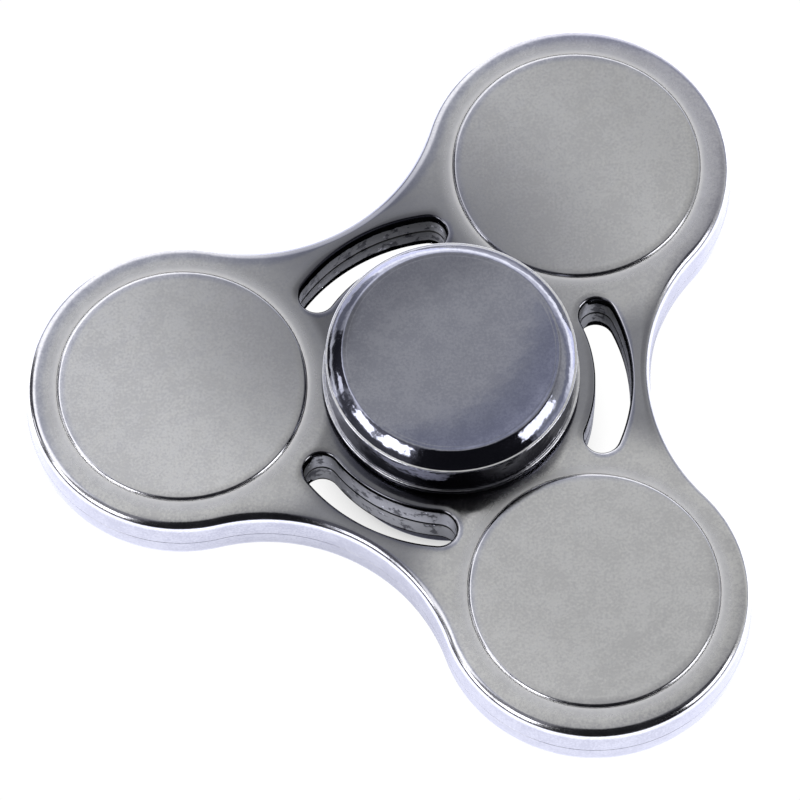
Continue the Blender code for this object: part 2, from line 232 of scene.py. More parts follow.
def rounded(points, radii, steps=ROUND_STEPS):
    """A run of corners with each corner turned into an arc of its radius."""
    path = []
    count = len(points)
    for i, (corner, radius) in enumerate(zip(points, radii)):
        here = Vector(corner)
        if radius <= 0.0:
            path.append(here)
            continue
        before = (Vector(points[i - 1]) - here).normalized()
        after = (Vector(points[(i + 1) % count]) - here).normalized()
        half = before.angle(after) / 2
        reach = radius / math.tan(half)
        centre = here + (before + after).normalized() * radius / math.sin(half)
        first = here + before * reach - centre
        last = here + after * reach - centre
        start = math.atan2(first.y, first.x)
        sweep = (math.atan2(last.y, last.x) - start + math.pi) % math.tau - math.pi
        path += arc(centre, radius, start, start + sweep, steps)
    return path


def edge_profile(edge, steps=ROUND_STEPS):
    """Points from a wall over its rounded edge and soft crown to the face.

    Each is (distance in over the round, its drop, distance in over the crown, its drop).
    """
    radius, width, crown_drop = edge
    last_tilt = math.atan(2 * crown_drop / width)
    points = []
    for i in range(steps + 1):
        tilt = math.pi / 2 + (last_tilt - math.pi / 2) * i / steps
        drop = radius * (math.cos(last_tilt) - math.cos(tilt))
        points.append((radius * (1 - math.sin(tilt)), drop, 0.0, crown_drop))
    start = points[-1][0]
    for i in range(1, steps + 1):
        share = i / steps
        points.append((start, 0.0, width * share, crown_drop * (1 - share) ** 2))
    points.append((start + FLAT_MARGIN, 0.0, width, 0.0))
    return points


def finish_mesh(name, bm, body, material, node):
    """Makes the piece from a closed bmesh, rides it on its body, and lets it stand for its CAD node."""
    bmesh.ops.remove_doubles(bm, verts=bm.verts, dist=1e-7)
    bmesh.ops.recalc_face_normals(bm, faces=bm.faces)
    if bm.calc_volume(signed=True) < 0.0:
        bmesh.ops.reverse_faces(bm, faces=bm.faces)
    mesh = bpy.data.meshes.new(name)
    bm.to_mesh(mesh)
    bm.free()
    mesh.shade_smooth()
    mesh.set_sharp_from_angle(angle=SHARP_ANGLE)
    mesh.materials.append(material)
    piece = bpy.data.objects.new(name, mesh)
    bpy.context.scene.collection.objects.link(piece)
    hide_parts(node)
    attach(piece, body)


def join_rings(bm, low, high):
    """A band of faces between two rings; either may be a single point."""
    if len(low) == 1 and len(high) == 1:
        return
    count = max(len(low), len(high))
    for i in range(count):
        j = (i + 1) % count
        corners = [low[i % len(low)], low[j % len(low)], high[j % len(high)], high[i % len(high)]]
        bm.faces.new(list(dict.fromkeys(corners)))


def lathe(profile, steps=TURN_STEPS):
    """Spins a closed (radius, z) outline about Z. A radius of 0 lies on the axis."""
    bm = bmesh.new()
    rings = []
    for radius, z in profile:
        if radius <= 1e-9:
            rings.append([bm.verts.new((0.0, 0.0, z))])
        else:
            circle = [polar(radius, math.tau * i / steps) for i in range(steps)]
            rings.append([bm.verts.new((*point, z)) for point in circle])
    for low, high in zip(rings, rings[1:] + rings[:1]):
        join_rings(bm, low, high)
    return bm


def tube(bm, levels):
    """Joins outlines of equal length, each at its level, into a wall. Returns its end rings."""
    rings = [[bm.verts.new((x, y, level + z)) for x, y, z in points] for points, level in levels]
    for low, high in zip(rings, rings[1:]):
        join_rings(bm, low, high)
    return rings[0], rings[-1]


def fill(bm, rings):
    """Fills the flat area between an outer ring and the rings of its holes."""
    edges = []
    for ring in rings:
        for a, b in zip(ring, ring[1:] + ring[:1]):
            edges.append(bm.edges.get((a, b)) or bm.edges.new((a, b)))
    bmesh.ops.triangle_fill(bm, use_beauty=True, edges=edges, normal=(0.0, 0.0, 1.0))


def turn_over(bm):
    bm.transform(Matrix.Rotation(math.pi, 4, "X"))


def place(bm, centre, flip):
    """Turns a piece over if it belongs below the mid plane, and moves it to its centre."""
    if flip:
        turn_over(bm)
    bm.transform(Matrix.Translation((centre.x, centre.y, 0.0)))
    return bm


# ------------------------------------------------------------------ the body's shells


def ease(share, least):
    """Rises smoothly from least, at a share of 0, to 1."""
    share = min(max(share, 0.0), 1.0)
    return least + (1 - least) * share * share * (3 - 2 * share)


def body_outline(inset, crown=0.0, drop=0.0):
    """The body's outline, inset from its parting line: convex round the lobes, hollow between.

    crown is a further inset and drop is a lowering, and both fade towards the middle of each waist.
    """
    lobe_radius = LOBE_RADIUS - inset
    centre_distance = (ARM**2 - WAIST_EXTRA**2) / (ARM - 2 * WAIST_EXTRA)
    hollow_radius = centre_distance - WAIST_EXTRA - lobe_radius
    points = []
    for index in range(LOBES):
        along, across = lobe_angle(index), waist_angle(index)
        lobe = polar(ARM, along)
        hollow = polar(centre_distance, across)
        line = hollow - lobe
        touch = math.atan2(line.y, line.x)
        lobe_half = (touch - along) % math.tau
        hollow_half = (touch - across) % math.tau
        for point in arc(lobe, lobe_radius - crown, along - lobe_half, along + lobe_half, LOBE_STEPS):
            points.append((point.x, point.y, -drop))
        for i in range(1, WAIST_STEPS):
            place_on_arc = 1 - 2 * i / WAIST_STEPS
            left = ease(2 * abs(place_on_arc) - 0.25, OUTER_CROWN_LEFT)
            angle = across + math.pi + hollow_half * place_on_arc
            point = hollow + polar(hollow_radius + crown * left, angle)
            points.append((point.x, point.y, -drop * left))
    return points


def slot_outline(index, widen, crown=0.0, drop=0.0):
    """An arc slot about the spin axis, with round ends. Its crown is narrow beside the waist."""
    middle_angle = waist_angle(index)
    half_width = SLOT_HALF_WIDTH + widen
    points = []
    for i in range(SLOT_SIDE_STEPS + 1):
        turn = 2 * i / SLOT_SIDE_STEPS - 1
        left = ease(1.6 * abs(turn) - 0.15, SLOT_CROWN_LEFT)
        point = polar(SLOT_RADIUS + half_width + crown * left, middle_angle + SLOT_HALF_ANGLE * turn)
        points.append((point.x, point.y, -drop * left))
    for end in (1, -1):
        angle = middle_angle + end * SLOT_HALF_ANGLE
        start = angle if end > 0 else angle - math.pi
        round_end = arc(polar(SLOT_RADIUS, angle), half_width + crown, start, start + math.pi, SLOT_END_STEPS)
        points += [(point.x, point.y, -drop) for point in round_end[1:-1]]
        if end > 0:
            inner = SLOT_RADIUS - half_width - crown
            side = arc(Vector((0.0, 0.0)), inner, angle, angle - 2 * SLOT_HALF_ANGLE, SLOT_SIDE_STEPS)
            points += [(point.x, point.y, -drop) for point in side]
    return points


def circle_outline(centre, radius, drop=0.0):
    circle = [centre + polar(radius, math.tau * i / CIRCLE_STEPS) for i in range(CIRCLE_STEPS)]
    return [(point.x, point.y, -drop) for point in circle]


def seam_levels(outline, wall, radius):
    """Levels over the small round at the parting line, where outline takes an offset into the metal."""
    levels = [(outline(wall + 2 * radius), SEAM_HALF)]
    for i in range(ROUND_STEPS + 1):
        turn = math.pi / 2 * i / ROUND_STEPS
        height = SEAM_HALF + radius * (1 - math.cos(turn))
        levels.append((outline(wall + radius * (1 - math.sin(turn))), height))
    return levels


def face_levels(outline, wall, edge):
    """Levels over the edge between a wall and the face, and a narrow strip of the face."""
    levels = []
    for inward, drop, crown, crown_drop in edge_profile(edge):
        levels.append((outline(wall + inward, crown, crown_drop), BODY_TOP - drop))
    return levels


def outer_wall(bm):
    """The drafted outer wall with its small round at the parting line and large one at the face."""
    seam = seam_levels(body_outline, 0.0, SEAM_ROUND)
    return tube(bm, seam + face_levels(body_outline, WALL_DRAFT, OUTER_EDGE))


def slot_wall(bm, index):
    def outline(widen, crown=0.0, drop=0.0):
        return slot_outline(index, widen, crown, drop)

    seam = seam_levels(outline, -SLOT_DRAFT, SLOT_SEAM_ROUND)
    return tube(bm, seam + face_levels(outline, 0.0, SLOT_EDGE))


def recess_wall(bm, index):
    """A lobe's recess: the weight's hole, the ledge under the cover disc, and the soft upper edge."""
    centre = polar(ARM, lobe_angle(index))
    ledge = DISC_LOW - PRESS_GAP
    hole = WEIGHT_RADIUS + PRESS_GAP
    wall = DISC_RADIUS + PRESS_GAP

    def outline(widen, crown=0.0, drop=0.0):
        return circle_outline(centre, wall + widen + crown, drop)

    levels = [(circle_outline(centre, hole), SEAM_HALF), (circle_outline(centre, hole), ledge)]
    return tube(bm, [*levels, (outline(0.0), ledge), *face_levels(outline, 0.0, RECESS_EDGE)])


def seat_wall(bm):
    """The hole that the bearing is pressed into."""

    def outline(widen, crown=0.0, drop=0.0):
        return circle_outline(Vector((0.0, 0.0)), BEARING_RADIUS + PRESS_GAP + widen + crown, drop)

    return tube(bm, [(outline(0.0), SEAM_HALF), *face_levels(outline, 0.0, SEAT_EDGE)])


def peg_wall(bm, index, socket):
    """A locating peg at the lobe's tip, or the blind socket that takes it. Returns its open ring."""
    centre = polar(ARM + PEG_ARM_EXTRA, lobe_angle(index))
    radius = PEG_RADIUS + (PRESS_GAP if socket else 0.0)
    tip = SEAM_HALF + PEG_LENGTH + 2 * PRESS_GAP if socket else SEAM_HALF - PEG_LENGTH
    chamfer = (tip - SEAM_HALF) * 0.15
    levels = [
        (circle_outline(centre, radius), SEAM_HALF),
        (circle_outline(centre, radius), tip - chamfer),
        (circle_outline(centre, radius * 0.85), tip),
        (circle_outline(centre, radius * 0.1), tip),
    ]
    first, last = tube(bm, levels)
    bm.faces.new(last)
    return first


def make_shell(side, material):
    upper = side == "upper"
    bm = bmesh.new()
    walls = [outer_wall(bm), seat_wall(bm)]
    walls += [slot_wall(bm, index) for index in range(LOBES)]
    walls += [recess_wall(bm, index) for index in range(LOBES)]
    pegs = [peg_wall(bm, index, socket=not upper) for index in range(LOBES)]
    fill(bm, [high for low, high in walls])
    fill(bm, [low for low, high in walls] + pegs)
    if not upper:
        turn_over(bm)
    finish_mesh(f"{side}_shell_plated", bm, "rotor", material, f"body_{side}_shell")


# ------------------------------------------------------------------ turned pieces


def make_cover_disc(node, material):
    """A thick round plate with a rounded, softly crowned edge that stands a little above the body."""
    centre, half = middle(node)
    radius = half.x + DISC_SPREAD
    profile = [(0.0, DISC_LOW), (radius - 0.1 * MM, DISC_LOW), (radius, DISC_LOW + 0.1 * MM)]
    for inward, drop, crown, crown_drop in edge_profile(DISC_EDGE, DISC_ROUND_STEPS):
        profile.append((radius - inward - crown, DISC_TOP - drop - crown_drop))
    profile.append((0.0, DISC_TOP))
    bm = place(lathe(profile), centre, centre.z < 0)
    finish_mesh(f"{node}_plate", bm, "rotor", material, node)


def make_weight(node, material):
    """A turned steel slug with a small centre dimple from the lathe."""
    centre, half = middle(node)
    radius, top = half.x, half.z
    dimple = 0.7 * MM
    deep = 0.4 * MM
    side = [(dimple, -top), (radius, -top), (radius, top), (dimple, top)]
    corners = [(0.0, deep - top), *side, (0.0, top - deep)]
    radii = [0, 0.1 * MM, 0.3 * MM, 0.3 * MM, 0.1 * MM, 0]
    bm = place(lathe(rounded(corners, radii)), centre, False)
    finish_mesh(f"{node}_slug", bm, "rotor", material, node)


def groove(side):
    """The ball groove's section on a race, from below to above. side is +1 on the outer race."""
    reach = math.acos(SHOULDER_OFFSET / GROOVE_RADIUS)
    points = arc(Vector((PITCH_RADIUS, 0.0)), GROOVE_RADIUS, -reach, reach, GROOVE_STEPS)
    return [(PITCH_RADIUS + side * (x - PITCH_RADIUS), z) for x, z in points]


def make_races(material):
    outer, top = BEARING_RADIUS, BEARING_HALF
    seat = SHIELD_SEAT_RADIUS
    shoulder = PITCH_RADIUS + SHOULDER_OFFSET
    corners = [(seat, top), (outer, top), (outer, -top), (seat, -top)]
    rim = rounded(corners, [0.05 * MM, 0.3 * MM, 0.3 * MM, 0.05 * MM], 5)
    walls = [(shoulder, -SHIELD_SEAT_Z), *groove(1), (shoulder, SHIELD_SEAT_Z)]
    profile = [(seat, SHIELD_SEAT_Z), *rim, (seat, -SHIELD_SEAT_Z), *walls]
    finish_mesh("outer_race_ground", lathe(profile), "rotor", material, "bearing_outer_race")
    shoulder = PITCH_RADIUS - SHOULDER_OFFSET
    corners = [(shoulder, top), (BORE_RADIUS, top), (BORE_RADIUS, -top), (shoulder, -top)]
    rim = rounded(corners, [0.06 * MM, 0.3 * MM, 0.3 * MM, 0.06 * MM], 5)
    profile = [*rim, *groove(-1)]
    finish_mesh("inner_race_ground", lathe(profile), "caps", material, "bearing_inner_race")


def make_shield(node, material):
    """A pressed sheet ring: its rim lies in the outer race's seat, and a step runs near its bore."""
    centre, half = middle(node)
    outer, sheet = half.x, SHIELD_SHEET
    top = SHIELD_Z + sheet
    step = 0.05 * MM
    corners = [
        (SHIELD_INNER, SHIELD_Z),
        (outer, SHIELD_Z),
        (outer, top + sheet),
        (outer - sheet, top + sheet),
        (outer - 2 * sheet, top),
        (7.6 * MM, top),
        (7.4 * MM, top - step),
        (SHIELD_INNER, top - step),
    ]
    radii = [0.05 * MM, 0.05 * MM, 0.1 * MM, 0.1 * MM, 0.12 * MM, 0.1 * MM, 0.1 * MM, 0.08 * MM]
    bm = place(lathe(rounded(corners, radii, 4)), centre, centre.z < 0)
    finish_mesh(f"{node}_pressed", bm, "rotor", material, node)


def make_cage(node, material):
    """A crimped ribbon with half pockets over the balls and flat lands between them."""
    pitch = math.tau / BALLS
    bm = bmesh.new()
    rings = []
    for step in range(BALLS * CAGE_STEPS):
        turn = (pitch * step / CAGE_STEPS + pitch / 2) % pitch - pitch / 2
        along = PITCH_RADIUS * abs(turn)
        low = max(math.sqrt(max(CAGE_POCKET**2 - along**2, 0.0)), CAGE_LAND)
        high = math.sqrt(max((CAGE_POCKET + CAGE_SHEET) ** 2 - along**2, 0.0))
        high = max(high, CAGE_LAND + CAGE_SHEET)
        angle = math.pi + pitch * step / CAGE_STEPS
        corners = [(CAGE_INNER, low), (CAGE_OUTER, low), (CAGE_OUTER, high), (CAGE_INNER, high)]
        section = rounded(corners, [0.08 * MM] * 4, 3)
        rings.append([bm.verts.new((*polar(point.x, angle), point.y)) for point in section])
    for ring, following in zip(rings, rings[1:] + rings[:1]):
        join_rings(bm, ring, following)
    if node.endswith("lower"):
        turn_over(bm)
    finish_mesh(f"{node}_ribbon", bm, "ball_cage", material, node)


def make_balls(material):
    for index in range(1, BALLS + 1):
        node = f"bearing_ball_{index}"
        centre, half = middle(node)
        bm = bmesh.new()
        bmesh.ops.create_icosphere(bm, subdivisions=BALL_SUBDIVISIONS, radius=half.z)
        bm.transform(Matrix.Translation(centre))
        finish_mesh(f"{node}_polished", bm, f"ball_{index}", material, node)


# ------------------------------------------------------------------ finger caps


def cap_outside():
    """From the middle of the dish, over the rim and the shoulder, to the skirt's foot."""
    dish = []
    for i in range(DISH_STEPS + 1):
        share = DISH_END * i / DISH_STEPS
        dish.append((RIM_INNER * share, CAP_TOP - DISH_DEPTH * (1 - share**DISH_POWER)))
    ridge_radius = CAP_RADIUS - SKIRT_FLARE
    start, end = Vector((RIM_OUTER, CAP_TOP)), Vector((ridge_radius - LEDGE_WIDTH, CAP_RIDGE_Z))
    slope = end - start
    bulge = Vector((-slope.y, slope.x)).normalized() * 4 * SHOULDER_BULGE
    shoulder = []
    for i in range(1, SHOULDER_STEPS):
        share = i / SHOULDER_STEPS
        shoulder.append(start + slope * share + bulge * share * (1 - share))
    corners = [dish[-1], (RIM_INNER, CAP_TOP), (RIM_OUTER, CAP_TOP), shoulder[2]]
    rim = rounded(corners, [0, RIM_ROUND, RIM_ROUND, 0])[1:-1]
    skirt = []
    for i in range(1, SKIRT_STEPS + 1):
        share = i / SKIRT_STEPS
        z = CAP_RIDGE_Z + (FOOT_LEDGE_Z - CAP_RIDGE_Z) * share
        skirt.append((ridge_radius + (SKIRT_FLARE - LEDGE_WIDTH) * share**SKIRT_POWER, z))
    ridge = rounded([shoulder[-2], end, (ridge_radius, CAP_RIDGE_Z), skirt[1]], LEDGE_RADII)[1:-1]
    low_ledge = [skirt[-2], skirt[-1], (CAP_RADIUS, FOOT_LEDGE_Z), (CAP_RADIUS, CAP_BASE + FOOT_ROUND)]
    low_ledge = rounded(low_ledge, LEDGE_RADII)[1:-1]
    foot = arc(Vector((CAP_RADIUS - FOOT_ROUND, CAP_BASE + FOOT_ROUND)), FOOT_ROUND, 0.0, -math.pi / 2, 6)
    return [*dish, *rim, *shoulder[2:-1], *ridge, *skirt[1:-1], *low_ledge, *foot]


def cap_inside():
    """The ring-shaped hollow under the cap, round the boss that clamps the inner race."""
    clamp = BEARING_HALF + PRESS_GAP
    corners = [
        (CAP_RADIUS - FOOT_ROUND, CAP_BASE),
        (HOLLOW_RADIUS, CAP_BASE),
        (HOLLOW_RADIUS - HOLLOW_DRAFT, HOLLOW_TOP),
        (BOSS_RADIUS, HOLLOW_TOP),
        (BOSS_RADIUS, clamp),
        (STEM_RADIUS, clamp),
    ]
    return rounded(corners, [0, 0.15 * MM, 0.4 * MM, 0.4 * MM, 0.15 * MM, 0])[1:-1]


def make_caps(material):
    clamp = BEARING_HALF + PRESS_GAP
    corners = [
        (STEM_RADIUS, clamp),
        (STEM_RADIUS, STEM_END),
        (SOCKET_RADIUS, STEM_END),
        (SOCKET_RADIUS, SOCKET_END),
        (0.0, SOCKET_END),
    ]
    stem = rounded(corners, [0, 0.3 * MM, 0.15 * MM, 0.2 * MM, 0], 5)
    bm = lathe([*cap_outside(), *cap_inside(), *stem])
    finish_mesh("finger_cap_upper_plated", bm, "caps", material, "finger_cap_upper")
    stud_end = clamp - STUD_LENGTH
    corners = [(STUD_RADIUS, clamp), (STUD_RADIUS, stud_end), (0.0, stud_end)]
    stud = rounded(corners, [0, 0.3 * MM, 0], 5)
    bm = lathe([*cap_outside(), *cap_inside(), *stud])
    turn_over(bm)
    finish_mesh("finger_cap_lower_plated", bm, "caps", material, "finger_cap_lower")


# ------------------------------------------------------------------ materials


class Nodes:
    """Small helper to build a node tree: makes nodes, links them and sets their values."""

    def __init__(self, tree):
        self.tree = tree
        self.tree.nodes.clear()

    def new(self, kind, values=None, **settings):
        node = self.tree.nodes.new(kind)
        for key, value in settings.items():
            setattr(node, key, value)
        for key, value in (values or {}).items():
            if isinstance(value, bpy.types.NodeSocket):
                self.tree.links.new(value, node.inputs[key])
            else:
                node.inputs[key].default_value = value
        return node

    def noise(self, place, scale, detail, roughness=0.5):
        values = {"Vector": place, "Scale": scale, "Detail": detail, "Roughness": roughness}
        return self.new("ShaderNodeTexNoise", values).outputs["Fac"]

    def math(self, operation, first, second=0.0, clamp=False):
        node = self.new("ShaderNodeMath", {0: first, 1: second}, operation=operation, use_clamp=clamp)
        return node.outputs[0]

    def multiply(self, *factors):
        product = factors[0]
        for factor in factors[1:]:
            product = self.math("MULTIPLY", product, factor)
        return product

    def span(self, value, low, high, to_low=0.0, to_high=1.0):
        """Maps low..high smoothly to to_low..to_high, held flat outside."""
        values = {"Value": value, "From Min": low, "From Max": high, "To Min": to_low, "To Max": to_high}
        node = self.new("ShaderNodeMapRange", values, interpolation_type="SMOOTHSTEP")
        return node.outputs["Result"]

    def window(self, value, low, high, soft):
        """1 between low and high, 0 outside, with soft edges."""
        rise = self.span(value, low - soft, low + soft)
        fall = self.span(value, high - soft, high + soft, 1.0, 0.0)
        return self.multiply(rise, fall)

    def mix(self, factor, first, second, blend="MIX"):
        node = self.new("ShaderNodeMix", data_type="RGBA", blend_type=blend)
        pairs = ((node.inputs[0], factor), (node.inputs[6], first), (node.inputs[7], second))
        for socket, value in pairs:
            if isinstance(value, bpy.types.NodeSocket):
                self.tree.links.new(value, socket)
            else:
                socket.default_value = value if isinstance(value, float) else (*value, 1.0)
        return node.outputs[2]

    def scaled(self, colour, factor):
        node = self.new("ShaderNodeVectorMath", {0: colour, "Scale": factor}, operation="SCALE")
        return node.outputs[0]

    def along(self, place, direction):
        """How far place lies from the origin along a direction."""
        node = self.new("ShaderNodeVectorMath", {0: place, 1: direction}, operation="DOT_PRODUCT")
        return node.outputs["Value"]

    def parts(self, vector):
        """The X, Y and Z of a vector."""
        return self.new("ShaderNodeSeparateXYZ", {0: vector}).outputs

    def flat_distance(self, place, centre):
        """Distance from an upright axis through centre."""
        flat = self.new("ShaderNodeVectorMath", {0: place, 1: (1.0, 1.0, 0.0)}, operation="MULTIPLY")
        values = {0: flat.outputs[0], 1: (*centre, 0.0)}
        return self.new("ShaderNodeVectorMath", values, operation="DISTANCE").outputs["Value"]

    def ramp(self, value, stops):
        node = self.new("ShaderNodeValToRGB", {"Fac": value})
        elements = node.color_ramp.elements
        while len(elements) < len(stops):
            elements.new(0.5)
        for element, (position, colour) in zip(elements, stops):
            element.position = position
            element.color = (*colour, 1.0)
        return node.outputs["Color"]


def shade_towards_hub(nodes, place, colour):
    """Painted shade: the plating's colour goes from bright at the lobes' tips to a darker, bluer tone near
    the hub.
    """
    away = nodes.flat_distance(place, DARKEST_PLACE)
    return nodes.mix(nodes.span(away, 3 * MM, 26 * MM, 1.0, 0.0), colour, PAINTED_SHADE_TONE)


def dress_cover(nodes, place, colour, rough):
    """Painted light and shade: cover discs brighter towards the first lobe's tip, darker on the opposite side
    and towards the hub.
    """
    # painted light towards the first lobe's tip, and painted shade on the other side
    slant = nodes.along(place, (-0.7, -0.7, 0.0))
    painted_light = nodes.span(slant, 9 * MM, 24 * MM, 1.0, 1.2)
    painted_shade = nodes.span(slant, -31 * MM, -22 * MM, 0.87, 1.0)
    colour = shade_towards_hub(nodes, place, colour)
    return nodes.scaled(colour, nodes.multiply(painted_light, painted_shade)), rough, WHITE


def dress_cap(nodes, place, colour, rough):
    """Painted shade on the skirt, under the ridge, and on the left side. The two ledges carry painted
    highlight lines.
    """
    height = nodes.math("ABSOLUTE", nodes.parts(place)["Z"])
    # painted shade on the skirt, under the ridge
    low = nodes.span(height, CAP_RIDGE_Z - 0.35 * MM, CAP_RIDGE_Z - 0.1 * MM, 1.0, 0.0)
    colour = nodes.mix(nodes.multiply(low, 0.85), colour, CAP_SKIRT_SHADE)
    # painted shade: dimmer on the left side
    left_side = nodes.along(place, (-0.95, 0.3, 0.0))
    colour = nodes.scaled(colour, nodes.span(left_side, 8.5 * MM, 10 * MM, 1.0, 0.45))
    # painted highlight lines along the two ledges
    glint_soft = 0.02 * MM
    ridge, foot = [
        nodes.window(height, ledge - 0.05 * MM, ledge + glint_soft, glint_soft) for ledge in (CAP_RIDGE_Z, FOOT_LEDGE_Z)
    ]
    ledge_glints = nodes.math("MAXIMUM", ridge, foot)
    return nodes.mix(ledge_glints, colour, (0.97, 0.97, 0.99)), rough, WHITE


def dress_body(nodes, place, colour, rough):
    """The face's painted light and shade, a painted highlight ring round each disc, painted shade on the
    lower wall and in the web by the hub, and the slots.
    """
    colour = shade_towards_hub(nodes, place, colour)
    nearest = None
    for index in range(LOBES):
        distance = nodes.flat_distance(place, polar(ARM, lobe_angle(index)))
        nearest = distance if nearest is None else nodes.math("MINIMUM", nearest, distance)
    hub = nodes.flat_distance(place, (0.0, 0.0))
    right, _, upright = nodes.parts(place)
    height = nodes.math("ABSOLUTE", upright)
    on_face = nodes.span(height, BODY_TOP - 0.5 * MM, BODY_TOP - 0.1 * MM)
    colour = shade_face(nodes, place, colour, nearest, on_face)
    # painted highlight: a bright ring round each disc, on rougher plating
    edge = DISC_RADIUS + PRESS_GAP
    wide = nodes.span(nearest, edge, edge + HALO_WIDE, 0.55, 0.0)
    narrow = nodes.span(nearest, edge, edge + HALO_NARROW, 0.45, 0.0)
    ring = nodes.multiply(on_face, nodes.math("ADD", wide, narrow))
    colour = nodes.mix(ring, colour, PAINTED_HALO)
    rough = nodes.math("ADD", rough, nodes.multiply(ring, 0.4))
    # painted shade: the outer wall darker low down
    colour = nodes.scaled(colour, nodes.span(height, 1.9 * MM, 2.5 * MM, 0.58, 1.0))
    # painted shadow on the face in the web by the hub
    web = nodes.multiply(
        nodes.span(nearest, 12.8 * MM, 13.8 * MM),
        nodes.span(hub, 16 * MM, 17.4 * MM, 0.5, 0.0),
        nodes.span(right, 2 * MM, 8 * MM, 1.0, 0.0),
    )
    colour = nodes.mix(nodes.multiply(web, on_face), colour, SHADOWED)
    return dress_slots(nodes, place, colour, rough, hub, upright)


def shade_face(nodes, place, colour, nearest, on_face):
    """Painted shade and light: dark at the waists, brighter at the lower left rims, and dimmer and bluer at
    the upper right.
    """
    waist = nodes.multiply(nodes.span(nearest, 13 * MM, 17.5 * MM, 0.0, 0.85), on_face)
    colour = nodes.mix(waist, colour, PAINTED_SHADE_TONE)
    low_side = nodes.multiply(nodes.along(place, (-0.5, -0.87, 0.0)), on_face)
    colour = nodes.scaled(colour, nodes.span(low_side, 19 * MM, 22.5 * MM, 1.0, 1.16))
    high_side = nodes.span(nodes.along(place, (0.87, 0.5, 0.0)), 16 * MM, 30 * MM)
    dimmed = nodes.mix(1.0, colour, (0.79, 0.79, 0.86), "MULTIPLY")
    return nodes.mix(nodes.multiply(high_side, on_face), colour, dimmed)


def dress_slots(nodes, place, colour, rough, hub, upright):
    """Duller, stained slot walls, darkened as painted shade, with painted glints, painted black shade at the
    lip and seam, and painted light on the upper half at the hub's side.
    """
    height = nodes.math("ABSOLUTE", upright)
    round_slot = nodes.window(hub, *SLOT_ZONE, 0.1 * MM)
    below_face = nodes.span(height, BODY_TOP - 0.5 * MM, BODY_TOP - 0.25 * MM, 1.0, 0.0)
    in_slot = nodes.multiply(round_slot, below_face)
    # duller plating in the slots, darkened further as painted shade
    colour = nodes.mix(in_slot, colour, SLOT_DULL_SHADED)
    far_side = nodes.span(hub, 14.2 * MM, 14.8 * MM)
    hub_side = nodes.math("SUBTRACT", 1.0, far_side)
    # painted light on the upper half, on the hub's side
    lit = nodes.multiply(in_slot, nodes.span(upright, 0.0, 0.1 * MM), hub_side)
    colour = nodes.mix(lit, colour, SLOT_PAINTED_LIGHT)
    blots = nodes.noise(place, 700.0, 5.0, 0.7)
    stains = nodes.span(blots, 0.53, 0.6, 0.0, 0.85)
    colour = nodes.mix(nodes.multiply(in_slot, stains), colour, (0.02, 0.02, 0.02))
    # painted glints
    glints = nodes.span(nodes.noise(place, 1300.0, 3.0, 0.6), 0.66, 0.72)
    colour = nodes.mix(nodes.multiply(in_slot, glints), colour, (0.95, 0.95, 0.93))
    # painted black shade at the lip, ragged at its lower edge, and at the seam
    ragged = nodes.math("ADD", height, nodes.multiply(blots, LIP_RAGGED))
    depth = nodes.math("SUBTRACT", BODY_TOP, ragged)
    deepest = nodes.span(far_side, 0.0, 1.0, *LIP_DEPTHS)
    past_lip = nodes.math("SUBTRACT", depth, deepest)
    lip_shade = nodes.multiply(round_slot, nodes.span(past_lip, -0.1 * MM, 0.1 * MM, 1.0, 0.0))
    lip_shade = nodes.multiply(lip_shade, nodes.span(height, BODY_TOP - 0.15 * MM, BODY_TOP - 0.08 * MM, 0.92, 0.0))
    seam = nodes.multiply(in_slot, nodes.span(height, *SEAM_SHADE, 0.8, 0.0))
    painted_black = nodes.math("MAXIMUM", lip_shade, seam)
    colour = nodes.mix(painted_black, colour, SLOT_PAINTED_BLACK)
    rough = nodes.math("ADD", rough, nodes.multiply(in_slot, 0.2))
    # the painted black also takes the tint out of grazing reflections
    return colour, rough, nodes.mix(painted_black, WHITE[:3], (0.0, 0.0, 0.0))


def specks(nodes, place, size, share):
    """Sparse small spots: a share of the cells of a fine cell pattern hold one."""
    values = {"Vector": place, "Scale": 1.0 / size}
    cells = nodes.new("ShaderNodeTexVoronoi", values)
    chosen = nodes.span(cells.outputs["Color"], 1.0 - share, 1.0 - share + 0.01)
    return nodes.multiply(chosen, nodes.span(cells.outputs["Distance"], 0.05, 0.2, 1.0, 0.0))


